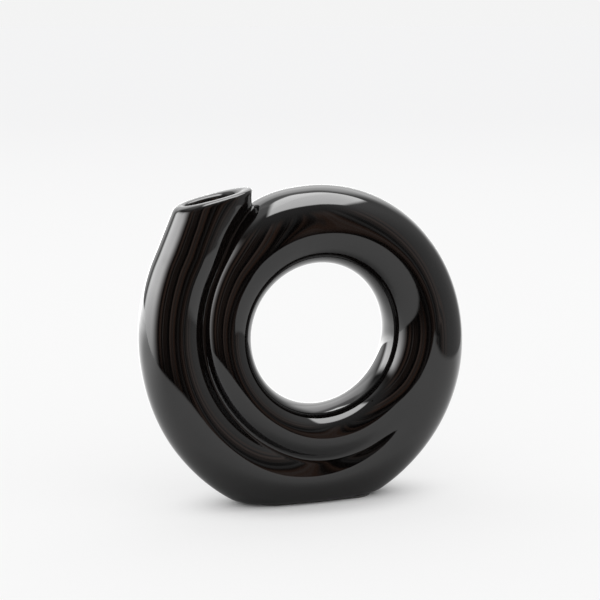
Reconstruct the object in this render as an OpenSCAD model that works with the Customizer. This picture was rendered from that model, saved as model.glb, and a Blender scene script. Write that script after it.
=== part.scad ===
// Hollow ceramic donut vase. One tube starts thin at the lower right of the hole, winds clockwise
// round the hole as a ring, and then once more half way round the outside of that ring, up to an
// oblique open mouth. The vase is pressed as a front and a back half, luted together on the middle
// plane, and it stands on a felt pad. The front faces -Y, and the origin lies under the pad's middle.

/* [Ring] */
// Radius from the centre of the hole to the middle of the ring's tube
ring_r = 77; // [70:1:84]
// Radius of the ring's tube where it stands alone, over the top
tube_r = 27.2; // [24:0.2:30]
// Height of the centre of the hole above the flat foot
ring_rise = 116; // [110:1:122]

/* [Tail] */
// Half width of the thin inner stretch of the tube, left of the hole
tail_half_w = 18.5; // [16:0.5:22]
// Half depth of that stretch, front to back
tail_half_d = 22; // [19:0.2:26]

/* [Coil] */
// Half width of the outer coil under the ring
coil_half_w = 29.4; // [26:0.2:31]
// Half depth of the outer coil where it is deepest, front to back
coil_half_d = 27; // [24:0.2:30]
// How far the coil would reach below the foot if the foot didn't cut it flat
coil_sink = 12.8; // [9:0.2:16]

/* [Mouth] */
// Half width of the straight neck that ends in the mouth
neck_half_w = 22.4; // [20:0.2:24]
// Half depth of the neck where it leaves the coil, front to back
neck_half_d = 20.8; // [19:0.2:23]
// Half depth of the neck at the mouth
mouth_half_d = 18.4; // [17:0.2:20]
// How much the neck swells towards the ring just under the mouth
neck_swell = 5; // [2:0.5:6]
// Length of the straight neck below the middle of the mouth
neck_l = 42; // [36:1:48]
// Lean of the neck to the right of upright, in degrees
neck_lean = 23; // [19:1:27]
// Rise of the mouth's rim to the right, in degrees
mouth_slope = 11; // [7:1:15]
// Half width of the mouth's opening, which the thick rim leaves
opening_half_w = 14.5; // [13:0.2:15.5]
// Half depth of the opening, front to back
opening_half_d = 9; // [8.6:0.2:10.4]

/* [Wall] */
// Thickness of the ceramic wall
wall = 6; // [4.5:0.25:6.5]
// Radius of the rounding along the rim's outer and inner edge
lip_r = 2.4; // [2:0.1:2.8]
// Thickness of the web of clay between the tail's hollow and the coil's
web = 2.6; // [2:0.2:3.4]

/* [Felt pad] */
// Length of the felt pad, left to right
pad_l = 86; // [70:1:100]
// Width of the felt pad, front to back
pad_w = 30; // [22:1:36]
// Thickness of the felt pad
pad_t = 1.2; // [0.8:0.1:2]

/* [Hidden] */

// Turns are degrees round the hole's centre from +X, counted up towards +Z and on to the left.
// The coil leaves the ring at coil_turn and runs clockwise; the tail runs the other way from
// tail_turn, beside the mouth, until it melts into the coil at melt_turn.
coil_turn = 40;
tail_turn = 118;
melt_turn = -50;
coil_end_turn = -200;
mouth_turn = 128.6;
step_turn = 6;

// How far the coil's outer side is from the ring's, 0, to its reach straight under the hole, 1,
// every 30 degrees on from coil_turn
reach_turn = 30;
reach_shares = [0, 0.085, 0.31, 0.6, 0.925, 1.07, 1, 0.96, 1.035, 1.18];
// How far the coil's width and depth are from the neck's, 0, to their fullest, 1, at the same turns
coil_width_shares = [1, 1, 1, 1, 1, 0.75, 0.4, 0.12, 0, 0];
coil_depth_shares = [1, 1, 1, 0.65, 0.4, 0.44, 0.42, 0.24, 0.05, 0];
mouth_reach_share = 1.173;
// Along the neck, at even stops from its foot to beyond the mouth: how much it swells towards the
// ring, how far its depth is from the coil's, 0, to the mouth's, 1, and how far its hollow is drawn
// in from the plain wall's, 0, to the mouth's opening, 1
neck_stops = 7;
neck_swell_shares = [0, 0, 0, 0, 0.05, 0.2, 0.42, 0.7, 0.98, 0.55, 0.2, 0.2, 0.2, 0.2, 0.2];
neck_depth_shares = [0, 0, 0.05, 0.15, 0.25, 0.4, 0.6, 0.8, 0.95, 1, 1, 1, 1, 1, 1];
neck_rim_shares = [0, 0, 0, 0.05, 0.3, 0.65, 0.9, 1, 1, 1, 1, 1, 1, 1, 1];
// How far the tail's section is from its thinnest, 0, to the ring's, 1, every 24 degrees
tail_step_turn = 24;
tail_width_shares = [1, 0.52, 0.25, 0.08, 0, 0.08, 0.26, 0.24, 0.25, 0.8, 1, 1, 1, 1, 1];
tail_depth_shares = [1, 0.3, 0, 0.1, 0.33, 0.58, 0.75, 0.65, 0.55, 0.9, 1, 1, 1, 1, 1];

hole_r = ring_r - tube_r;
ring_out = ring_r + tube_r;
coil_out = ring_rise + coil_sink;
foot_z = pad_t;
hole_z = foot_z + ring_rise;
// The pad's middle lies a little to the left of the hole's, where the foot does
hole_x_share = 0.054;
hole_x = hole_x_share * ring_r;
// The corners on half of an outer section, and round a whole inner one
half_sides = 16;
inner_sides = 24;
lip_beads = 13;
// One overrun serves every cut
over = 2 * neck_half_w;

// Smooth value between the entries of a list, where f counts entries
function entry(list, i) = list[min(max(i, 0), len(list) - 1)];
function round_entry(list, i) = list[(i + len(list)) % len(list)];
function curve(a, b, c, d, f) =
    b + 0.5 * f * (c - a + f * (2 * a - 5 * b + 4 * c - d + f * (3 * (b - c) + d - a)));
function along(list, f) = let (i = floor(f))
    curve(entry(list, i - 1), entry(list, i), entry(list, i + 1), entry(list, i + 2), f - i);
function round_along(list, f) = let (i = floor(f))
    curve(round_entry(list, i - 1), round_entry(list, i), round_entry(list, i + 1),
        round_entry(list, i + 2), f - i);
function mix(low, high, share) = low + (high - low) * share;

// The coil's and the tail's sections: how far out they lie, half their width and half their depth
function coil_place(turn) = (coil_turn - turn) / reach_turn;
function reach(turn) = mix(ring_out, coil_out, along(reach_shares, coil_place(turn)));
function coil_w(turn) = min(mix(neck_half_w, coil_half_w, along(coil_width_shares, coil_place(turn))),
    (reach(turn) - hole_r) / 2);
function coil_d(turn) = mix(neck_half_d, coil_half_d, along(coil_depth_shares, coil_place(turn)));
function tail_place(turn) = ((turn - tail_turn + 360) % 360) / tail_step_turn;
function tail_w(turn) = mix(tail_half_w, tube_r, round_along(tail_width_shares, tail_place(turn)));
function tail_d(turn) = mix(tail_half_d, tube_r, round_along(tail_depth_shares, tail_place(turn)));
// One section runs across the tube from the hole outwards, as corners [distance, depth] whose
// sides face evenly round. An oval is [middle, half width, half depth] from the hole's centre.
function coil_oval(turn, inset) =
    [reach(turn) - coil_w(turn), coil_w(turn) - inset, coil_d(turn) - inset];
function tail_oval(turn, inset) =
    [hole_r + tail_w(turn), tail_w(turn) - inset, tail_d(turn) - inset];
// The tail's hollow also leaves the web of clay between it and the coil's hollow
function tail_hollow_w(turn) = turn < coil_end_turn ? tail_w(turn) - wall
    : min(tail_w(turn) - wall, (reach(turn) - 2 * coil_w(turn) - web - hole_r) / 2);
function webbed_oval(turn) =
    [hole_r + wall + tail_hollow_w(turn), tail_hollow_w(turn), tail_d(turn) - wall];

function stretch(oval, a) = norm([oval[1] * cos(a), oval[2] * sin(a)]);
function far(oval, a) = oval[0] * cos(a) + stretch(oval, a);
function corner(oval, a) = [oval[0] + oval[1] * oval[1] * cos(a) / stretch(oval, a),
    oval[2] * oval[2] * sin(a) / stretch(oval, a)];
// The tightest smooth outline round two ovals
function around(one, two, a) = far(one, a) > far(two, a) ? corner(one, a) : corner(two, a);

// Corner angles over the front half of an outer section, and right round an inner one
half_angles = [for (k = [0 : half_sides]) -180 * k / half_sides];
round_angles = [for (k = [1 : inner_sides]) -360 * k / inner_sides];
function ring_point(turn, c) =
    [hole_x + c[0] * cos(turn), c[1], hole_z + c[0] * sin(turn)];

// Where the coil leaves the swell, each skin dips under the other by this much
dip = 0.4;
function swell_dip(turn) = turn > melt_turn ? 0 : dip;
function coil_dip(turn) = dip * max(turn - melt_turn, 0) / step_turn;

function swells(turn) = turn >= melt_turn;
function ring_outer(turn) = [for (a = half_angles) ring_point(turn, swells(turn)
    ? around(tail_oval(turn, 0), coil_oval(turn, swell_dip(turn)), a)
    : corner(tail_oval(turn, 0), a))];
function ring_inner(turn) = [for (a = round_angles) ring_point(turn, swells(turn)
    ? around(tail_oval(turn, wall), coil_oval(turn, wall + swell_dip(turn)), a)
    : corner(webbed_oval(turn), a))];
function coil_outer(turn) =
    [for (a = half_angles) ring_point(turn, corner(coil_oval(turn, coil_dip(turn)), a))];
function coil_inner(turn) =
    [for (a = round_angles) ring_point(turn, corner(coil_oval(turn, wall + coil_dip(turn)), a))];

// The neck runs straight to the mouth's middle and past it, where the mouth's cut ends it
mouth_mid = [hole_x + mouth_reach_share * ring_out * cos(mouth_turn),
    hole_z + mouth_reach_share * ring_out * sin(mouth_turn)];
function neck_point(l, c) = [mouth_mid[0] + l * sin(neck_lean) - c[0] * cos(neck_lean), c[1],
    mouth_mid[1] + l * cos(neck_lean) + c[0] * sin(neck_lean)];
function neck_d(k) = mix(neck_half_d, mouth_half_d, neck_depth_shares[k]);
function neck_height(k) = neck_l * (k / neck_stops - 1);
function neck_outer(k) = let (out = neck_swell * neck_swell_shares[k] / 2)
    [for (a = half_angles)
        neck_point(neck_height(k), corner([-out, neck_half_w + out, neck_d(k)], a))];
function neck_hollow(k) = [0, mix(neck_half_w - wall, opening_half_w, neck_rim_shares[k]),
    mix(neck_d(k) - wall, opening_half_d, neck_rim_shares[k])];
function neck_inner(k) =
    [for (a = round_angles) neck_point(neck_height(k), corner(neck_hollow(k), a))];
neck_places = [0 : len(neck_rim_shares) - 1];

ring_turns = [for (i = [0 : 360 / step_turn - 1]) coil_turn - i * step_turn];
coil_turns = [for (t = [melt_turn + 2 * step_turn : -step_turn : coil_end_turn]) t];

// A solid skinned over sections in a row, closed by its two end sections
module skin(sections) {
    n = len(sections[0]);
    last = (len(sections) - 1) * n;
    sides = [for (i = [0 : len(sections) - 2], k = [0 : n - 1])
        let (a = i * n + k, b = i * n + (k + 1) % n)
        each [[a, b + n, b], [a, a + n, b + n]]];
    start = [for (k = [0 : n - 1]) k];
    finish = [for (k = [n - 1 : -1 : 0]) last + k];
    polyhedron([for (s = sections) each s], concat(sides, [start, finish]));
}

// A ring skinned over sections that come back to the first
module closed_skin(sections) {
    n = len(sections[0]);
    m = len(sections);
    sides = [for (i = [0 : m - 1], k = [0 : n - 1])
        let (a = i * n + k, b = i * n + (k + 1) % n, c = (i + 1) % m * n)
        each [[a, c + (k + 1) % n, b], [a, c + k, c + (k + 1) % n]]];
    polyhedron([for (s = sections) each s], sides);
}

// The outside of the front half, flat on the middle plane
module outside() {
    closed_skin([for (t = ring_turns) ring_outer(t)]);
    skin(concat([for (t = coil_turns) coil_outer(t)], [for (k = neck_places) neck_outer(k)]));
}

// The hollow inside, with a flat floor over the foot
module hollow() {
    difference() {
        union() {
            closed_skin([for (t = ring_turns) ring_inner(t)]);
            skin(concat([for (t = coil_turns) coil_inner(t)],
                [for (k = neck_places) neck_inner(k)]));
        }
        below(foot_z + wall);
    }
}

// Everything under a height
module below(z) {
    translate([-2 * ring_out, -2 * tube_r, z - ring_out])
        cube([4 * ring_out, 4 * tube_r, ring_out]);
}

// Everything above the mouth's sloping cut
module above_mouth() {
    translate([mouth_mid[0], 0, mouth_mid[1]])
        rotate([0, -mouth_slope, 0])
            translate([-over, -over, 0])
                cube([2 * over, 2 * over, 2 * over]);
}

// The rim round the mouth is thickest towards the ring. Its rounded edges follow two ovals on the cut.
rim_swell = neck_swell / 8;
rim_out = [-rim_swell, neck_half_w + rim_swell - lip_r, mouth_half_d - lip_r];
rim_in = [0, opening_half_w + lip_r, opening_half_d + lip_r];
function rim_point(oval, a) = let (c = corner(oval, a))
    neck_point(-c[0] * tan(neck_lean + mouth_slope), c);

// The front half of the mouth's thick rim, rounded over at its outer and its inner edge
module lip() {
    intersection() {
        for (k = [0 : lip_beads - 1])
            hull()
                for (oval = [rim_out, rim_in], a = [0.5 - k, -0.5 - k] * 180 / (lip_beads - 1))
                    translate(rim_point(oval, a))
                        sphere(r = lip_r, $fn = 16);
        translate([mouth_mid[0] - over, -over, mouth_mid[1] - over])
            cube([2 * over, over, 2 * over]);
    }
}

module half_shell() {
    difference() {
        outside();
        hollow();
        above_mouth();
        below(foot_z);
    }
    lip();
}

module front_shell() {
    color([0.07, 0.06, 0.06]) half_shell();
}

module back_shell() {
    color([0.09, 0.08, 0.08]) mirror([0, 1, 0]) half_shell();
}

// A felt oval under both halves of the foot
module foot_pad() {
    color([0.25, 0.24, 0.23])
        union() {
            translate([-(pad_l - pad_w) / 2, -pad_w / 2, 0])
                cube([pad_l - pad_w, pad_w, pad_t]);
            for (side = [-1, 1])
                translate([side * (pad_l - pad_w) / 2, 0, 0])
                    cylinder(h = pad_t, d = pad_w, $fn = 64);
        }
}

front_shell();
back_shell();
foot_pad();
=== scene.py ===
# Looks of the hollow ceramic donut vase: its two glazed halves, the felt pad under its foot, and a
# white studio. The vase's lengths are in millimetres, as in the part's own source, until a mesh is
# made of them. The camera's and the studio's are in metres.
import math
import bmesh
import bpy
import numpy as np
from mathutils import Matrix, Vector
from mathutils.geometry import delaunay_2d_cdt


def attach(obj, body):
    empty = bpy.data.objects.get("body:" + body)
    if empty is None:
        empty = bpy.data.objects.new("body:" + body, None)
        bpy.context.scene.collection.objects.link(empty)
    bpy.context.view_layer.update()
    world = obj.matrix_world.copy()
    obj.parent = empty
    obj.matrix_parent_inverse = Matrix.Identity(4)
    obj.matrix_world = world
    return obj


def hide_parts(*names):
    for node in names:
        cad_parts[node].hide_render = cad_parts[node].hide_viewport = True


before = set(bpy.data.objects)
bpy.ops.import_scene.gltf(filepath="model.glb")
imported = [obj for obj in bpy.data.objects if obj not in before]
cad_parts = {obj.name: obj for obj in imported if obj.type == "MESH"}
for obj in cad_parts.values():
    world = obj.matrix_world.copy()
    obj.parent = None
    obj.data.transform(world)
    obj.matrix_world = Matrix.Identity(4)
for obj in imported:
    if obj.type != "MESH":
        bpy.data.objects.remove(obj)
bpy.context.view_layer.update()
MM = 0.001

# The part's own sizes. Its origin is under the middle of the foot, and the hole lies a little to
# the right of it.
RING_R = 77.0
TUBE_R = 27.2
RING_RISE = 116.0
TAIL_HALF_W = 18.5
TAIL_HALF_D = 22.0
COIL_HALF_W = 29.4
COIL_HALF_D = 27.0
COIL_SINK = 12.8
NECK_HALF_W = 22.4
NECK_HALF_D = 20.8
MOUTH_HALF_D = 18.4
NECK_SWELL = 5.0
NECK_L = 42.0
NECK_LEAN = math.radians(23)
OPENING_HALF_W = 14.5
OPENING_HALF_D = 9.0
WALL = 6.0
LIP_R = 2.4
WEB = 2.6
PAD_L = 86.0
PAD_W = 30.0
PAD_T = 1.2
HOLE_X_SHARE = 0.054
MOUTH_TURN = math.radians(128.6)
MOUTH_REACH_SHARE = 1.173

# Turns are degrees round the hole's middle from the right, counted up towards the top. The outer
# coil winds the other way from COIL_TURN, and its way is counted in degrees too. Every REACH_TURN
# of its way, how far its outer side is from the ring's, 0, to its reach straight under the hole, 1,
# and how far its width and depth are from the neck's, 0, to their fullest, 1. Past COIL_END_WOUND
# the ring's hollow leaves it no room.
COIL_TURN = 40.0
REACH_TURN = 30.0
REACH_SHARES = (0, 0.085, 0.31, 0.6, 0.925, 1.07, 1, 0.96, 1.035, 1.18)
COIL_WIDTH_SHARES = (1, 1, 1, 1, 1, 0.75, 0.4, 0.12, 0, 0)
COIL_DEPTH_SHARES = (1, 1, 1, 0.65, 0.4, 0.44, 0.42, 0.24, 0.05, 0)
COIL_END_WOUND = 240.0

# At NECK_STOPS even stops below the mouth and as many beyond it, how much the neck swells towards
# the ring, how far its depth is from the coil's, 0, to the mouth's, 1, and how far its hollow is
# drawn in from the plain wall's, 0, to the mouth's opening, 1
NECK_STOPS = 7
NECK_SWELL_SHARES = (0, 0, 0, 0, 0.05, 0.2, 0.42, 0.7, 0.98, 0.55, 0.2, 0.2, 0.2, 0.2, 0.2)
NECK_DEPTH_SHARES = (0, 0, 0.05, 0.15, 0.25, 0.4, 0.6, 0.8, 0.95, 1, 1, 1, 1, 1, 1)
NECK_RIM_SHARES = (0, 0, 0, 0.05, 0.3, 0.65, 0.9, 1, 1, 1, 1, 1, 1, 1, 1)

# Once round the ring from TAIL_TURN, beside the mouth, every TAIL_STEP_TURN degrees, how far its
# section is from the tail's thinnest, 0, to the full ring's, 1
TAIL_TURN = 118.0
TAIL_STEP_TURN = 24.0
TAIL_WIDTH_SHARES = (1, 0.52, 0.25, 0.08, 0, 0.08, 0.26, 0.24, 0.25, 0.8, 1, 1, 1, 1, 1)
TAIL_DEPTH_SHARES = (1, 0.3, 0, 0.1, 0.33, 0.58, 0.75, 0.65, 0.55, 0.9, 1, 1, 1, 1, 1)

HOLE_R = RING_R - TUBE_R
RING_OUT = RING_R + TUBE_R
COIL_OUT = RING_RISE + COIL_SINK
FOOT_Z = PAD_T
HOLE_Z = FOOT_Z + RING_RISE
HOLE_X = HOLE_X_SHARE * RING_R
MOUTH_X = HOLE_X + MOUTH_REACH_SHARE * RING_OUT * math.cos(MOUTH_TURN)
MOUTH_Z = HOLE_Z + MOUTH_REACH_SHARE * RING_OUT * math.sin(MOUTH_TURN)

# The mouth's cut is a little steeper here than in the solids, the most that stays inside their box
MOUTH_SLOPE = math.radians(13)
# What the glaze and the fired clay soften. The crease's fillet is given every FILLET_TURN degrees
# of the coil's way, and the skin lies a hair inside the solids.
FILLETS = (5.0, 5.0, 4.0, 3.4, 2.8, 2.4, 2.4)
FILLET_TURN = 60.0
FOOT_ROUND = 3.0
RIM_ROUND = 3.4
OPENING_ROUND = 4.5
OPENING_FROM = -16.0
SKIN_INSET = 0.12
# The melt: the ring and the coil are one swell up to MELT_FROM degrees of the coil's way, and two
# forms with a crease between them from MELT_TO on
MELT_FROM = 62.0
MELT_TO = 104.0
# The straight neck takes over from the coil along this stretch below the mouth, and only past
# NECK_PAST_WOUND degrees of the coil's way
NECK_FROM = -58.0
NECK_TO = -40.0
NECK_PAST_WOUND = 180.0

# The grid on which the skin is found runs from in front of the vase to half a cell past the middle
PITCH = 1.5
GRID_LOW = (-126.0, -19.5 * PITCH, -1.0)
GRID_HIGH = (115.0, 0.5 * PITCH, 226.0)
GRID_SLACK = 1e-6
SETTLE_ROUNDS = 4
RELAX_PASSES = 2
RELAX_SETTLE_ROUNDS = 2
SLOPE_STEP = 0.04
LEAST_SLOPE = 0.05
LONGEST_MOVE = 0.8
SEAM_CLOSE = 1e-5
TINY = 1e-9
DIRECTIONS = 25
GOLDEN_ROUNDS = 26
GOLDEN_SHARE = (math.sqrt(5) - 1) / 2


# A smooth curve from b to c, at the part f of the way, where a comes before them and d after them
def curve(a, b, c, d, f):
    return b + 0.5 * f * (c - a + f * (2 * a - 5 * b + 4 * c - d + f * (3 * (b - c) + d - a)))


# The share at a place counted in steps, from a table with two ends
def along(shares, place):
    shares = np.asarray(shares, float)
    step = np.floor(place).astype(int)
    last = len(shares) - 1
    a, b, c, d = (shares[np.clip(step + k, 0, last)] for k in (-1, 0, 1, 2))
    return curve(a, b, c, d, place - step)


# The same from a table that closes on itself
def round_along(shares, place):
    shares = np.asarray(shares, float)
    step = np.floor(place).astype(int)
    a, b, c, d = (shares[(step + k) % len(shares)] for k in (-1, 0, 1, 2))
    return curve(a, b, c, d, place - step)


def mix(low, high, share):
    return low + (high - low) * share


def ease(low, high, value):
    way = np.clip((value - low) / (high - low), 0, 1)
    return way * way * (3 - 2 * way)


def soft_min(one, other, blend):
    near = np.maximum(blend - np.abs(one - other), 0) / blend
    return np.minimum(one, other) - near * near * blend / 4


def soft_max(one, other, blend):
    return -soft_min(-one, -other, blend)


# Signed distance, near enough, from an oval's outline
def oval(across, deep, half_w, half_d):
    size = np.hypot(across / half_w, deep / half_d) + TINY
    slope = np.hypot(across / half_w**2, deep / half_d**2) + TINY
    return size * (size - 1) / slope


# Signed distance from the tightest smooth outline round two ovals [middle, half width, half depth]:
# how far the point lies beyond that outline, in the direction in which it lies furthest
def around(across, deep, one, two):
    def beyond(angle):
        c, s = np.cos(angle), np.sin(angle)
        far = [middle * c + np.hypot(half_w * c, half_d * s) for middle, half_w, half_d in (one, two)]
        return across * c + deep * s - np.maximum(*far)

    angles = np.linspace(0, np.pi, DIRECTIONS)
    tries = np.array([beyond(np.full(across.shape, angle)) for angle in angles])
    best = angles[tries.argmax(0)]
    low, high = np.maximum(best - angles[1], 0), np.minimum(best + angles[1], np.pi)
    a, b = high - GOLDEN_SHARE * (high - low), low + GOLDEN_SHARE * (high - low)
    at_a, at_b = beyond(a), beyond(b)
    for _ in range(GOLDEN_ROUNDS):
        less = at_a > at_b
        low, high = np.where(less, low, a), np.where(less, b, high)
        step = GOLDEN_SHARE * (high - low)
        tried = np.where(less, high - step, low + step)
        at_tried = beyond(tried)
        a, b = np.where(less, tried, b), np.where(less, a, tried)
        at_a, at_b = np.where(less, at_tried, at_b), np.where(less, at_a, at_tried)
    return np.maximum(at_a, at_b)


# How far the coil reaches from the hole's middle, and half its width and depth
def coil_sizes(wound):
    place = wound / REACH_TURN
    reach = mix(RING_OUT, COIL_OUT, along(REACH_SHARES, place))
    half_w = np.minimum(mix(NECK_HALF_W, COIL_HALF_W, along(COIL_WIDTH_SHARES, place)),
                        (reach - HOLE_R) / 2)
    half_d = mix(NECK_HALF_D, COIL_HALF_D, along(COIL_DEPTH_SHARES, place))
    return reach, half_w, half_d


# Half the ring's width and depth, its tail included
def tail_sizes(turn):
    place = (turn - TAIL_TURN) % 360 / TAIL_STEP_TURN
    half_w = mix(TAIL_HALF_W, TUBE_R, round_along(TAIL_WIDTH_SHARES, place))
    half_d = mix(TAIL_HALF_D, TUBE_R, round_along(TAIL_DEPTH_SHARES, place))
    return half_w, half_d


# How far up its axis a point of the neck lies, 0 at the mouth, and its signed distance from the neck
def neck_distance(x, y, z, inset):
    up = (x - MOUTH_X) * math.sin(NECK_LEAN) + (z - MOUTH_Z) * math.cos(NECK_LEAN)
    off = (z - MOUTH_Z) * math.sin(NECK_LEAN) - (x - MOUTH_X) * math.cos(NECK_LEAN)
    stop = (up / NECK_L + 1) * NECK_STOPS
    half_d = mix(NECK_HALF_D, MOUTH_HALF_D, along(NECK_DEPTH_SHARES, stop))
    if inset:
        share = along(NECK_RIM_SHARES, stop)
        room_w = mix(NECK_HALF_W - WALL, OPENING_HALF_W, share)
        room_d = mix(half_d - WALL, OPENING_HALF_D, share)
        return up, oval(off, y, room_w, room_d)
    swell = NECK_SWELL * along(NECK_SWELL_SHARES, stop) / 2
    return up, oval(off + swell, y, NECK_HALF_W + swell, half_d)


# The outside of the vase, or with an inset of the wall its hollow, as a signed distance
def body(points, inset):
    x, y, z = points[:, 0], np.abs(points[:, 1]), points[:, 2]
    off = np.hypot(x - HOLE_X, z - HOLE_Z)
    turn = np.degrees(np.arctan2(z - HOLE_Z, x - HOLE_X))
    wound = (COIL_TURN - turn) % 360
    reach, coil_w, coil_d = coil_sizes(wound)
    tail_w, tail_d = tail_sizes(turn)
    coil = oval(off - (reach - coil_w), y, coil_w - inset, coil_d - inset)
    if inset:
        beside_coil = (reach - 2 * coil_w - WEB - HOLE_R) / 2
        room = np.where(wound > COIL_END_WOUND, tail_w - WALL, np.minimum(tail_w - WALL, beside_coil))
        tail = oval(off - (HOLE_R + WALL + room), y, room, tail_d - WALL)
    else:
        tail = oval(off - (HOLE_R + tail_w), y, tail_w, tail_d)
    up, neck = neck_distance(x, y, z, inset)
    coil = np.where(wound > NECK_PAST_WOUND, mix(coil, neck, ease(NECK_FROM, NECK_TO, up)), coil)
    if inset:
        both = np.minimum(tail, coil)
    else:
        both = soft_min(tail, coil, along(FILLETS, wound / FILLET_TURN))
    melts = wound < MELT_TO
    one = [v[melts] for v in (HOLE_R + tail_w, tail_w - inset, tail_d - inset)]
    two = [v[melts] for v in (reach - coil_w, coil_w - inset, coil_d - inset)]
    both[melts] = mix(around(off[melts], y[melts], one, two), both[melts],
                      ease(MELT_FROM, MELT_TO, wound[melts]))
    return both


# The whole clay as a signed distance: the outside less the hollow, the foot's cut and the mouth's
def vase(points):
    x, z = points[:, 0], points[:, 2]
    outside = soft_max(body(points, 0) + SKIN_INSET, FOOT_Z - z, FOOT_ROUND)
    inside = np.maximum(body(points, WALL), FOOT_Z + WALL - z)
    above = ((z - MOUTH_Z) * math.cos(MOUTH_SLOPE) - (x - MOUTH_X) * math.sin(MOUTH_SLOPE)
             - LIP_R + SKIN_INSET)
    outside = soft_max(outside, above, RIM_ROUND)
    return np.where(above > OPENING_FROM, soft_max(outside, -inside, OPENING_ROUND),
                    np.maximum(outside, -inside))


# The field's slopes at points, where flat marks those that stay on the middle plane
def gradient(field, points, flat):
    slopes = np.empty_like(points)
    for k in range(3):
        step = np.zeros(3)
        step[k] = SLOPE_STEP
        slopes[:, k] = (field(points + step) - field(points - step)) / (2 * SLOPE_STEP)
    slopes[flat, 1] = 0
    return slopes


# Points moved onto the surface, each time by LONGEST_MOVE at most
def settle(field, points, flat, rounds):
    for _ in range(rounds):
        slopes = gradient(field, points, flat)
        size = np.maximum((slopes * slopes).sum(1), LEAST_SLOPE)
        move = -(field(points) / size)[:, None] * slopes
        far = np.linalg.norm(move, axis=1)
        points = points + move * np.minimum(1, LONGEST_MOVE / np.maximum(far, TINY))[:, None]
        points[flat, 1] = 0
    return points


# Each point moves half way to the middle of its neighbours, and those of the seam along the seam
def relax(points, quads, flat):
    a = quads.ravel()
    b = np.roll(quads, -1, axis=1).ravel()
    keep = ~(flat[a] & ~flat[b])
    back = ~(flat[b] & ~flat[a])
    places = np.zeros_like(points)
    count = np.zeros(len(points))
    np.add.at(places, a[keep], points[b[keep]])
    np.add.at(count, a[keep], 1)
    np.add.at(places, b[back], points[a[back]])
    np.add.at(count, b[back], 1)
    return 0.5 * points + 0.5 * places / np.maximum(count, 1)[:, None]


# The field on the grid, one layer from front to back at a time
def sampled(field, axes):
    grid_x, grid_z = np.meshgrid(axes[0], axes[2], indexing="ij")
    values = np.empty([len(axis) for axis in axes])
    for j, y in enumerate(axes[1]):
        layer = np.stack([grid_x.ravel(), np.full(grid_x.size, y), grid_z.ravel()], 1)
        values[:, j, :] = field(layer).reshape(grid_x.shape)
    return values


# For each cell of the grid, the sum and the number of the places where the surface crosses its
# edges, and for each axis the four cells round every crossed edge along it
def crossings(values):
    full = values < 0
    cells = np.array(values.shape) - 1
    places = np.zeros((*cells, 3))
    count = np.zeros(cells)
    rings = []
    for k in range(3):
        starts = [slice(None)] * 3
        ends = [slice(None)] * 3
        starts[k] = slice(0, -1)
        ends[k] = slice(1, None)
        cross = full[tuple(starts)] != full[tuple(ends)]
        edge = np.argwhere(cross)
        at_start, at_end = values[tuple(starts)][cross], values[tuple(ends)][cross]
        place = edge.astype(float)
        place[:, k] += at_start / (at_start - at_end)
        others = [m for m in range(3) if m != k]
        ring = []
        for s, t in ((0, 0), (1, 0), (1, 1), (0, 1)):
            cell = edge.copy()
            cell[:, others[0]] -= s
            cell[:, others[1]] -= t
            good = ((cell >= 0) & (cell < cells)).all(1)
            np.add.at(places, tuple(cell[good].T), place[good])
            np.add.at(count, tuple(cell[good].T), 1)
            ring.append((cell, good))
        rings.append(ring)
    return places, count, rings


# The front half's skin: its points and quads, which points lie on the middle plane, and the normals
def skin(field):
    low = np.array(GRID_LOW)
    counts = np.ceil((np.array(GRID_HIGH) - low) / PITCH - GRID_SLACK).astype(int) + 1
    axes = [low[k] + PITCH * np.arange(counts[k]) for k in range(3)]
    places, count, rings = crossings(sampled(field, axes))
    used = np.argwhere(count > 0)
    number = np.full(count.shape, -1)
    number[tuple(used.T)] = np.arange(len(used))
    points = low + PITCH * places[tuple(used.T)] / count[tuple(used.T)][:, None]
    flat = used[:, 1] == count.shape[1] - 1
    points[flat, 1] = 0
    quads = []
    for ring in rings:
        good = np.all([kept for _, kept in ring], axis=0)
        quads.append(np.stack([number[tuple(cell[good].T)] for cell, _ in ring], 1))
    quads = np.concatenate(quads)
    points = settle(field, points, flat, SETTLE_ROUNDS)
    for _ in range(RELAX_PASSES):
        points = settle(field, relax(points, quads, flat), flat, RELAX_SETTLE_ROUNDS)
    outward = gradient(field, points, flat)
    outward /= np.maximum(np.linalg.norm(outward, axis=1), TINY)[:, None]
    across = np.cross(points[quads[:, 2]] - points[quads[:, 0]], points[quads[:, 3]] - points[quads[:, 1]])
    turned = (across * outward[quads].sum(1)).sum(1) < 0
    quads[turned] = quads[turned][:, ::-1]
    return points, quads, flat, outward


# Triangles that close the luted face on the middle plane, inside the clay only
def luted_face(field, points, quads, flat):
    a = quads.ravel()
    b = np.roll(quads, -1, axis=1).ravel()
    on = flat[a] & flat[b]
    seam = np.flatnonzero(flat)
    place = np.full(len(points), -1)
    place[seam] = np.arange(len(seam))
    edges = list(zip(place[a[on]].tolist(), place[b[on]].tolist()))
    outline = [Vector(point) for point in points[seam][:, [0, 2]].tolist()]
    made = delaunay_2d_cdt(outline, edges, [], 1, SEAM_CLOSE)
    sources = made[3]
    faces = np.array([[seam[sources[i][0]] for i in face] for face in made[2]
                      if all(sources[i] for i in face)])
    return faces[field(points[faces].mean(1)) < 0]


def placed(name, data):
    made = bpy.data.objects.new(name, data)
    bpy.context.scene.collection.objects.link(made)
    return made


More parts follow.
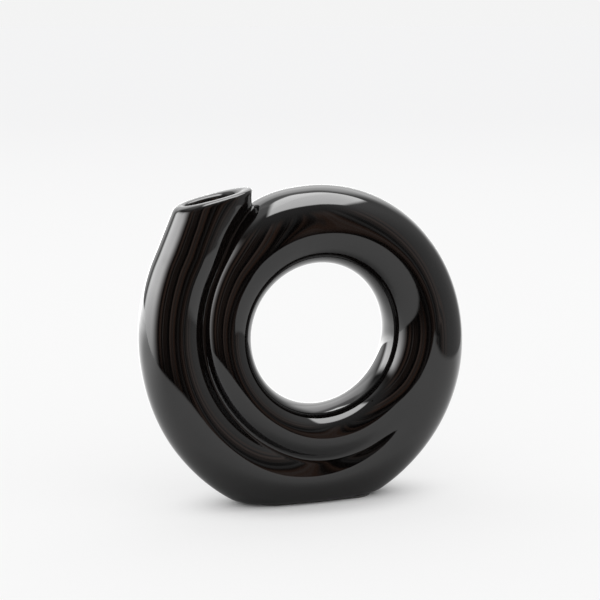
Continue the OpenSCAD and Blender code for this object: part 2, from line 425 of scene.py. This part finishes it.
# One closed half: its skin, and the flat luted face on the middle plane. The side is 1 for the
# front half and -1 for the back half, its mirror image.
def half(name, side, points, quads, outward, caps):
    mesh = bpy.data.meshes.new(name)
    faces = [f if side > 0 else f[::-1] for f in quads.tolist()]
    for a, b, c in caps.tolist():
        (xa, _, za), (xb, _, zb), (xc, _, zc) = points[[a, b, c]]
        upright = (xb - xa) * (zc - za) - (xc - xa) * (zb - za) < 0
        faces.append((a, b, c) if upright == (side > 0) else (c, b, a))
    mesh.from_pydata((points * (MM, side * MM, MM)).tolist(), [], faces)
    mesh.polygons.foreach_set("use_smooth", [True] * len(mesh.polygons))
    corner = np.empty(len(mesh.loops), np.int32)
    mesh.loops.foreach_get("vertex_index", corner)
    loop_normals = outward[corner] * (1, side, 1)
    loop_normals[mesh.polygons[len(quads)].loop_start:] = (0, side, 0)
    mesh.normals_split_custom_set(loop_normals.tolist())
    return placed(name, mesh)


points, quads, flat, outward = skin(vase)
caps = luted_face(vase, points, quads, flat)
front = half("glazed_front", 1, points, quads, outward, caps)
back = half("glazed_back", -1, points, quads, outward, caps)

# The camera: the photo's viewing angle, to the left of straight ahead and a little above the hole.
# FOCUS_PX and the hole's place right of and below the middle of the frame are in the photo's pixels,
# and SENSOR is a width in millimetres.
VIEW_TURN = math.radians(-19.25)
VIEW_RISE = math.radians(9.43)
VIEW_DISTANCE = 1186.6 * MM
FOCUS_PX = 1700.0
PHOTO_PX = 600.0
HOLE_RIGHT_PX = 17.7
HOLE_BELOW_PX = 33.4
SENSOR = 36
CLIP_START = 0.05


# A node tree, and short ways to add the nodes that are used most
class Graph:
    def __init__(self, tree):
        self.nodes = tree.nodes
        self.links = tree.links

    # Gives each named socket its value, or links another node's output to it
    def fill(self, made, sockets):
        for name, value in sockets.items():
            if isinstance(value, bpy.types.NodeSocket):
                self.links.new(value, made.inputs[name])
            else:
                made.inputs[name].default_value = value

    def node(self, kind, sockets):
        made = self.nodes.new(kind)
        self.fill(made, sockets)
        return made

    def math(self, operation, *values):
        made = self.nodes.new("ShaderNodeMath")
        made.operation = operation
        self.fill(made, dict(enumerate(values)))
        return made.outputs["Value"]

    def product(self, first, *others):
        for value in others:
            first = self.math("MULTIPLY", first, value)
        return first

    def total(self, first, *others):
        for value in others:
            first = self.math("ADD", first, value)
        return first

    def opposite(self, value):
        return self.math("MULTIPLY", value, -1)

    def rest_of_one(self, value):
        return self.math("SUBTRACT", 1, value)

    # Carries a value from one span to another, evenly unless ends says otherwise
    def spread(self, value, low, high, to_low, to_high, ends="LINEAR"):
        made = self.nodes.new("ShaderNodeMapRange")
        made.interpolation_type = ends
        self.fill(made, {"Value": value, "From Min": low, "From Max": high,
                         "To Min": to_low, "To Max": to_high})
        return made.outputs["Result"]

    # A soft edge, from nothing to all of it
    def rising(self, value, low, high, to_high=1.0):
        return self.spread(value, low, high, 0, to_high, "SMOOTHSTEP")

    # A soft edge, from all of it to nothing
    def falling(self, value, low, high, to_low=1.0):
        return self.spread(value, low, high, to_low, 0, "SMOOTHSTEP")

    # A stretch with two soft edges
    def window(self, value, low, high, soft):
        return self.product(self.rising(value, low - soft / 2, low + soft / 2),
                            self.falling(value, high - soft / 2, high + soft / 2))

    def place(self, kind):
        return self.nodes.new("ShaderNodeTexCoord").outputs[kind]

    def noise(self, where, scale, detail=2.0, rough=0.5):
        sockets = {"Vector": where, "Scale": scale, "Detail": detail, "Roughness": rough}
        return self.node("ShaderNodeTexNoise", sockets).outputs["Fac"]

    def ramp(self, value, stops):
        made = self.node("ShaderNodeValToRGB", {"Fac": value})
        elements = made.color_ramp.elements
        elements[0].position, elements[0].color = stops[0][0], (*stops[0][1], 1)
        elements[1].position, elements[1].color = stops[-1][0], (*stops[-1][1], 1)
        for position, color in stops[1:-1]:
            elements.new(position).color = (*color, 1)
        return made.outputs["Color"]

    def bump(self, height, strength, distance):
        sockets = {"Height": height, "Strength": strength, "Distance": distance}
        return self.node("ShaderNodeBump", sockets).outputs["Normal"]

    def length(self, where):
        made = self.nodes.new("ShaderNodeVectorMath")
        made.operation = "LENGTH"
        self.fill(made, {"Vector": where})
        return made.outputs["Value"]

    def background(self, color, strength):
        return self.node("ShaderNodeBackground", {"Color": color, "Strength": strength}).outputs["Background"]

    def both(self, one, other):
        return self.node("ShaderNodeAddShader", {0: one, 1: other}).outputs["Shader"]

    def either(self, factor, one, other):
        return self.node("ShaderNodeMixShader", {"Fac": factor, 1: one, 2: other}).outputs["Shader"]

    # A place or direction as its parts to the right, straight ahead and up, as the photo's camera
    # would have them if it were level
    def from_view(self, where):
        spin = self.nodes.new("ShaderNodeVectorRotate")
        spin.rotation_type = "Z_AXIS"
        self.fill(spin, {"Vector": where, "Angle": -VIEW_TURN})
        axes = self.node("ShaderNodeSeparateXYZ", {"Vector": spin.outputs["Vector"]}).outputs
        return axes["X"], axes["Y"], axes["Z"]


def material(name):
    made = bpy.data.materials.new(name)
    made.use_nodes = True
    graph = Graph(made.node_tree)
    return made, graph, graph.nodes["Principled BSDF"]


# Black glaze: it pools to a faint brown, and its gloss and its surface are hardly uneven
GLAZE_BLACKS = ((0.3, (0.0016, 0.0014, 0.0014)), (0.55, (0.0024, 0.0020, 0.0019)),
                (0.75, (0.0038, 0.0030, 0.0028)))
POOL_SCALE = 22
POOL_DETAIL = 3
POOL_ROUGH = 0.55
GLOSS_SCALE = 60
GLOSS_SPAN = (0.3, 0.7)
GLOSS_ROUGH = (0.035, 0.055)
GLAZE_IOR = 1.59
PEEL_SCALE = 90
PEEL_DETAIL = 2
PEEL_ROUGH = 0.4
PEEL_STRENGTH = 0.25
PEEL_HEIGHT = 0.06 * MM


def glaze(name):
    made, graph, shader = material(name)
    where = graph.place("Object")
    pooled = graph.noise(where, POOL_SCALE, POOL_DETAIL, POOL_ROUGH)
    peel = graph.noise(where, PEEL_SCALE, PEEL_DETAIL, PEEL_ROUGH)
    graph.fill(shader, {
        "Base Color": graph.ramp(pooled, GLAZE_BLACKS),
        "Roughness": graph.spread(graph.noise(where, GLOSS_SCALE), *GLOSS_SPAN, *GLOSS_ROUGH),
        "IOR": GLAZE_IOR,
        "Normal": graph.bump(peel, PEEL_STRENGTH, PEEL_HEIGHT)})
    return made


front.data.materials.append(glaze("black_glaze_front"))
back.data.materials.append(glaze("black_glaze_back"))
for piece, node in ((front, "front_shell"), (back, "back_shell")):
    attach(piece, "root")
    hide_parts(node)

# The felt pad: a pressed oval with a soft, slightly frayed edge, in the space of its solid
PAD_SIDES = 96
PAD_EDGE = 0.35
PAD_FRAY = 0.12
FRAY_FROM_SHARE = 0.2
FRAY_TO_SHARE = 0.8
# From the bottom up, shares of the edge's rounding and of the pad's thickness
PAD_PROFILE_SHARES = ((1.0, 0.0), (0.35, 0.04), (0.0, 0.3), (0.0, 0.7), (0.35, 0.96), (1.0, 1.0))
FRAY_SEED = 7
FELT_GREYS = ((0.3, (0.028, 0.027, 0.026)), (0.7, (0.075, 0.072, 0.07)))
FIBRE_SCALE = 1800
FIBRE_DETAIL = 6
FIBRE_ROUGH = 0.7
FIBRE_STRENGTH = 0.6
FIBRE_HEIGHT = 0.3 * MM
FELT_ROUGH = 0.95
FELT_SHEEN = 0.3


def pad_mesh(name):
    bm = bmesh.new()
    rows = []
    rng = np.random.default_rng(FRAY_SEED)
    for shrink, rise in PAD_PROFILE_SHARES:
        frays = FRAY_FROM_SHARE < rise < FRAY_TO_SHARE
        row = []
        for k in range(PAD_SIDES):
            angle = 2 * math.pi * k / PAD_SIDES
            end = (PAD_L - PAD_W) / 2 * (1 if math.cos(angle) >= 0 else -1)
            r = PAD_W / 2 - PAD_EDGE * shrink - PAD_FRAY * rng.random() * frays
            x = end + r * math.cos(angle)
            row.append(bm.verts.new((x * MM, r * math.sin(angle) * MM, PAD_T * rise * MM)))
        rows.append(row)
    for low, high in zip(rows, rows[1:]):
        for k in range(PAD_SIDES):
            after = (k + 1) % PAD_SIDES
            bm.faces.new((low[k], low[after], high[after], high[k]))
    bm.faces.new(rows[0][::-1])
    bm.faces.new(rows[-1])
    mesh = bpy.data.meshes.new(name)
    bm.to_mesh(mesh)
    bm.free()
    return mesh


def felt(name):
    made, graph, shader = material(name)
    fibre = graph.noise(graph.place("Object"), FIBRE_SCALE, FIBRE_DETAIL, FIBRE_ROUGH)
    graph.fill(shader, {
        "Base Color": graph.ramp(fibre, FELT_GREYS),
        "Roughness": FELT_ROUGH,
        "Sheen Weight": FELT_SHEEN,
        "Normal": graph.bump(fibre, FIBRE_STRENGTH, FIBRE_HEIGHT)})
    return made


pad = placed("felt_pad", pad_mesh("felt_pad"))
pad.data.materials.append(felt("felt"))
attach(pad, "root")
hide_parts("foot_pad")


def photo_camera():
    away = Vector((math.sin(VIEW_TURN) * math.cos(VIEW_RISE),
                   -math.cos(VIEW_TURN) * math.cos(VIEW_RISE), math.sin(VIEW_RISE)))
    right = Vector((math.cos(VIEW_TURN), math.sin(VIEW_TURN), 0))
    up = away.cross(right)
    hole = Vector((HOLE_X, 0, HOLE_Z)) * MM
    pixel = VIEW_DISTANCE / FOCUS_PX
    data = bpy.data.cameras.new("camera")
    data.sensor_fit = "HORIZONTAL"
    data.sensor_width = SENSOR
    data.lens = SENSOR * FOCUS_PX / PHOTO_PX
    data.clip_start = CLIP_START
    camera = placed("camera", data)
    camera.location = (hole + VIEW_DISTANCE * away - HOLE_RIGHT_PX * pixel * right
                       + HOLE_BELOW_PX * pixel * up)
    camera.rotation_euler = away.to_track_quat("Z", "Y").to_euler()
    return camera


bpy.context.scene.camera = photo_camera()

# The room. It is white to the camera and lights all else evenly, and the glaze mirrors a dark room
# with softboxes in it. Turns are degrees round the vase from the viewer, 90 to the right. Heights
# are degrees above level. Places on the ceiling are shares of its height above the vase, to the
# right and towards the viewer. An edge is where it starts and ends, and a level is a strength.
ROOM_LIGHT = 1.0
ROOM_SEEN = 0.9
WHITE = (1, 1, 1, 1)
BROWN = (1.0, 0.55, 0.38, 1)
SKYLINE_EDGE = (0, 0.02)
OVERHEAD_SIDES = (-0.23, 0.70)
OVERHEAD_SIDE_SOFT = 0.12
OVERHEAD_FAR_EDGE = (-0.51, -0.45)
OVERHEAD_NEAR_EDGE = (0.36, 0.44)
OVERHEAD_NEAR_SLANT = 0.18
OVERHEAD_CORNER_EDGE = (-0.52, -0.40)
OVERHEAD_CORNER_SLANT = 0.9
OVERHEAD_LEVEL_SIDES = (-0.2, 0.7)
OVERHEAD_LEVELS = (7.2, 6.2)
LEFT_BOX_BACK_EDGE = (-118, -104)
LEFT_BOX_FRONT_EDGE = (-68, -38)
LEFT_BOX_TOP_EDGE = (21, 37)
LEFT_BOX_LEVEL_HEIGHTS = (-25, 12)
LEFT_BOX_LEVELS = (2.0, 7.4)
BACKDROP_LEFT_EDGE = (-136, -106)
BACKDROP_RIGHT_EDGE = (130, 160)
BACKDROP_LOWER_HEIGHTS = (-12, 28)
BACKDROP_UPPER_HEIGHTS = (28, 54)
BACKDROP_SOFT = 8
BACKDROP_TOP_EDGE = (50, 58)
BACKDROP_LOWER_LEVEL = 1.5
BACKDROP_UPPER_LEVEL = 2.3
BACKDROP_TOP_LEVEL = 0.9
RIGHT_WALL_FRONT_EDGE = (40, 84)
RIGHT_WALL_BACK_EDGE = (128, 150)
RIGHT_WALL_TOP_EDGE = (52, 64)
RIGHT_WALL_LEVEL = 0.44
LEFT_CEILING_FRONT_EDGE = (-36, -64)
LEFT_CEILING_BACK_EDGE = (-140, -116)
LEFT_CEILING_LOW_EDGE = (36, 66)
LEFT_CEILING_LEVEL = 0.7
FRONT_CEILING_BACK_EDGE = (140, 100)
FRONT_CEILING_LOW_EDGE = (16, 60)
FRONT_CEILING_LEVEL = 0.28
STREAK_HEIGHTS = (-14, 40)
STREAK_HEIGHT_SOFT = 20
STREAK_SIDE_EDGE = (84, 60)
STREAK_DETAIL = 3
BROWN_STREAK_SCALE = 0.11
BROWN_STREAK_EDGE = (0.44, 0.66)
BROWN_STREAK_LEVEL = 0.30
GREY_STREAK_SCALE = 0.16
GREY_STREAK_EDGE = (0.46, 0.70)
GREY_STREAK_LEVEL = 0.22


# Upright streaks of light and dark furniture in the room in front of the vase
def streaks(graph, turn, turned_off, height, scale, edge, level):
    bands = graph.nodes.new("ShaderNodeTexNoise")
    bands.noise_dimensions = "1D"
    graph.fill(bands, {"W": turn, "Scale": scale, "Detail": STREAK_DETAIL})
    return graph.product(graph.rising(bands.outputs["Fac"], *edge),
                         graph.window(height, *STREAK_HEIGHTS, STREAK_HEIGHT_SOFT),
                         graph.rising(turned_off, *STREAK_SIDE_EDGE), level)


# The softbox overhead, with slanted near and corner edges
def overhead_box(graph, side, near, rise):
    right = graph.math("DIVIDE", side, rise)
    towards = graph.math("DIVIDE", near, rise)
    corner = graph.total(right, graph.product(towards, OVERHEAD_CORNER_SLANT))
    front_side = graph.total(towards, graph.product(right, OVERHEAD_NEAR_SLANT))
    return graph.product(graph.window(right, *OVERHEAD_SIDES, OVERHEAD_SIDE_SOFT),
                         graph.falling(front_side, *OVERHEAD_NEAR_EDGE),
                         graph.rising(corner, *OVERHEAD_CORNER_EDGE),
                         graph.rising(rise, *SKYLINE_EDGE),
                         graph.rising(towards, *OVERHEAD_FAR_EDGE),
                         graph.spread(right, *OVERHEAD_LEVEL_SIDES, *OVERHEAD_LEVELS))


# What the glaze mirrors of the room, all but the brown streaks
def mirrored(graph, turn, turned_off, height, overhead):
    left_box = graph.product(graph.rising(turn, *LEFT_BOX_BACK_EDGE),
                             graph.falling(turn, *LEFT_BOX_FRONT_EDGE),
                             graph.falling(height, *LEFT_BOX_TOP_EDGE),
                             graph.spread(height, *LEFT_BOX_LEVEL_HEIGHTS, *LEFT_BOX_LEVELS))
    behind = graph.total(graph.falling(turn, *BACKDROP_LEFT_EDGE),
                         graph.rising(turn, *BACKDROP_RIGHT_EDGE))
    lower = graph.product(graph.window(height, *BACKDROP_LOWER_HEIGHTS, BACKDROP_SOFT),
                          BACKDROP_LOWER_LEVEL)
    upper = graph.product(graph.window(height, *BACKDROP_UPPER_HEIGHTS, BACKDROP_SOFT),
                          BACKDROP_UPPER_LEVEL)
    top = graph.product(graph.rising(height, *BACKDROP_TOP_EDGE), BACKDROP_TOP_LEVEL)
    backdrop = graph.product(behind, graph.total(lower, upper, top))
    right_wall = graph.product(graph.rising(turn, *RIGHT_WALL_FRONT_EDGE),
                               graph.falling(turn, *RIGHT_WALL_BACK_EDGE),
                               graph.falling(height, *RIGHT_WALL_TOP_EDGE), RIGHT_WALL_LEVEL)
    left_ceiling = graph.product(graph.rising(turn, *LEFT_CEILING_FRONT_EDGE),
                                 graph.rising(turn, *LEFT_CEILING_BACK_EDGE),
                                 graph.rising(height, *LEFT_CEILING_LOW_EDGE), LEFT_CEILING_LEVEL)
    front_ceiling = graph.product(graph.rising(turned_off, *FRONT_CEILING_BACK_EDGE),
                                  graph.rising(height, *FRONT_CEILING_LOW_EDGE), FRONT_CEILING_LEVEL)
    grey = streaks(graph, turn, turned_off, height,
                   GREY_STREAK_SCALE, GREY_STREAK_EDGE, GREY_STREAK_LEVEL)
    return graph.total(overhead, left_box, backdrop, right_wall, left_ceiling, front_ceiling, grey)


def studio_room():
    world = bpy.data.worlds.new("studio")
    world.use_nodes = True
    graph = Graph(world.node_tree)
    graph.nodes.clear()
    degrees = 180 / math.pi
    side, ahead, rise = graph.from_view(graph.place("Generated"))
    height = graph.product(graph.math("ARCSINE", rise), degrees)
    turn = graph.product(graph.math("ARCTAN2", side, graph.opposite(ahead)), degrees)
    turned_off = graph.math("ABSOLUTE", turn)
    overhead = overhead_box(graph, side, graph.opposite(ahead), rise)
    ray = graph.nodes.new("ShaderNodeLightPath").outputs
    level = graph.nodes.new("ShaderNodeMix")
    level.data_type = "FLOAT"
    graph.fill(level, {
        "Factor": ray["Is Glossy Ray"],
        "A": graph.spread(ray["Is Camera Ray"], 0, 1, ROOM_LIGHT, ROOM_SEEN),
        "B": mirrored(graph, turn, turned_off, height, overhead)})
    brown = streaks(graph, turn, turned_off, height,
                    BROWN_STREAK_SCALE, BROWN_STREAK_EDGE, BROWN_STREAK_LEVEL)
    white_room = graph.background(WHITE, level.outputs["Result"])
    brown_streaks = graph.background(BROWN, graph.product(brown, ray["Is Glossy Ray"]))
    graph.node("ShaderNodeOutputWorld", {"Surface": graph.both(white_room, brown_streaks)})
    return world


bpy.context.scene.world = studio_room()

# The floor, in metres. Its colour is painted a little darker far from the vase, a painted dimming of
# the light. To the glaze it ends in front and at the right, has a painted shadow round the foot, and
# has painted pools of light under the left softbox and behind the vase, where it glows though it is
# no lamp. To the camera it is a pale sheet that keeps a soft share of the vase's shadow. Its painted
# shadow and its sheet go by how far a place lies from the foot's middle, counted in the foot's half
# length and half width.
FLOOR_HALF = 60.0
FLOOR_ROUGH = 0.9
# Painted shade: the floor's colour fades from near to far, standing in for its light falling off
PAINTED_DIMMING_EDGE = (0.3, 5)
FLOOR_PALES_PAINTED_DIMMING = ((0, (0.955, 0.955, 0.955)), (1, (0.90, 0.90, 0.905)))
FOOT_HALF_L = 0.055
FOOT_HALF_W = 0.03
# Painted shadow round the foot, seen only in the glaze's reflections
PAINTED_SHADOW_EDGE = (0.8, 3.2)
PAINTED_SHADOW_SHARE = 0.42
SHEET_EDGE = (0.8, 2.0)
SHEET_SHARE = 0.6
FRONT_END_EDGE = (0.325, 0.36)
FRONT_END_SLANT = -0.2
RIGHT_END_EDGE = (0.46, 0.54)
# Painted pools of light on the floor, seen only in the glaze's reflections
LEFT_PAINTED_LIGHT_SLANT = -0.4
LEFT_PAINTED_LIGHT_EDGES = ((0.08, 0.42), (0.5, 1.6), (1.5, 3.5))
LEFT_PAINTED_LIGHT_LEVELS = (1.0, 2.4, 1.2)
BACK_PAINTED_LIGHT_EDGE = (-0.05, -0.25)
BACK_PAINTED_LIGHT_LEVEL = 0.4


def floor_white(name):
    made, graph, shader = material(name)
    where = graph.place("Object")
    side, ahead, _ = graph.from_view(where)
    near = graph.opposite(ahead)
    ray = graph.nodes.new("ShaderNodeLightPath").outputs
    # Painted shade: the floor's colour is darker far from the vase
    pale_painted_dimming = graph.ramp(graph.rising(graph.length(where), *PAINTED_DIMMING_EDGE), FLOOR_PALES_PAINTED_DIMMING)
    foot_axes = graph.nodes.new("ShaderNodeVectorMath")
    foot_axes.operation = "MULTIPLY"
    graph.fill(foot_axes, {0: where, 1: (1 / FOOT_HALF_L, 1 / FOOT_HALF_W, 0)})
    from_foot = graph.length(foot_axes.outputs["Vector"])
    # Painted shadow: to the glaze, the floor's colour is darkened round the foot
    painted_shadow = graph.product(ray["Is Glossy Ray"], graph.falling(from_foot, *PAINTED_SHADOW_EDGE, PAINTED_SHADOW_SHARE))
    pale_with_painted_shadow = graph.nodes.new("ShaderNodeVectorMath")
    pale_with_painted_shadow.operation = "SCALE"
    graph.fill(pale_with_painted_shadow, {"Vector": pale_painted_dimming, "Scale": graph.rest_of_one(painted_shadow)})
    graph.fill(shader, {"Base Color": pale_with_painted_shadow.outputs["Vector"], "Roughness": FLOOR_ROUGH,
                        "Specular IOR Level": 0.0})
    # Painted pools of light: to the glaze, the floor glows under the left softbox and behind the vase, though
    # it is no lamp
    reach_left = graph.total(graph.opposite(side), graph.product(near, LEFT_PAINTED_LIGHT_SLANT))
    painted_lights = [graph.rising(reach_left, *edge, level)
             for edge, level in zip(LEFT_PAINTED_LIGHT_EDGES, LEFT_PAINTED_LIGHT_LEVELS)]
    painted_lights.append(graph.rising(near, *BACK_PAINTED_LIGHT_EDGE, BACK_PAINTED_LIGHT_LEVEL))
    painted_light_glow = graph.node("ShaderNodeEmission", {
        "Strength": graph.product(ray["Is Glossy Ray"], graph.total(*painted_lights))})
    lit_with_painted_light = graph.both(shader.outputs["BSDF"], painted_light_glow.outputs["Emission"])
    slanted = graph.total(near, graph.product(side, FRONT_END_SLANT))
    there = graph.product(graph.falling(slanted, *FRONT_END_EDGE), graph.falling(side, *RIGHT_END_EDGE))
    gone = graph.nodes.new("ShaderNodeBsdfTransparent").outputs["BSDF"]
    ended = graph.either(graph.product(ray["Is Glossy Ray"], graph.rest_of_one(there)), lit_with_painted_light, gone)
    sheet = graph.node("ShaderNodeEmission", {"Color": pale_painted_dimming}).outputs["Emission"]
    seen = graph.product(ray["Is Camera Ray"], graph.rising(from_foot, *SHEET_EDGE, SHEET_SHARE))
    graph.fill(graph.nodes["Material Output"], {"Surface": graph.either(seen, ended, sheet)})
    return made


def floor_mesh(name):
    mesh = bpy.data.meshes.new(name)
    corners = [(x * FLOOR_HALF, y * FLOOR_HALF, 0) for x, y in ((-1, -1), (1, -1), (1, 1), (-1, 1))]
    mesh.from_pydata(corners, [], [(0, 1, 2, 3)])
    return mesh


floor = placed("floor", floor_mesh("floor"))
floor.data.materials.append(floor_white("floor_white"))

bpy.context.scene.view_settings.view_transform = "Standard"
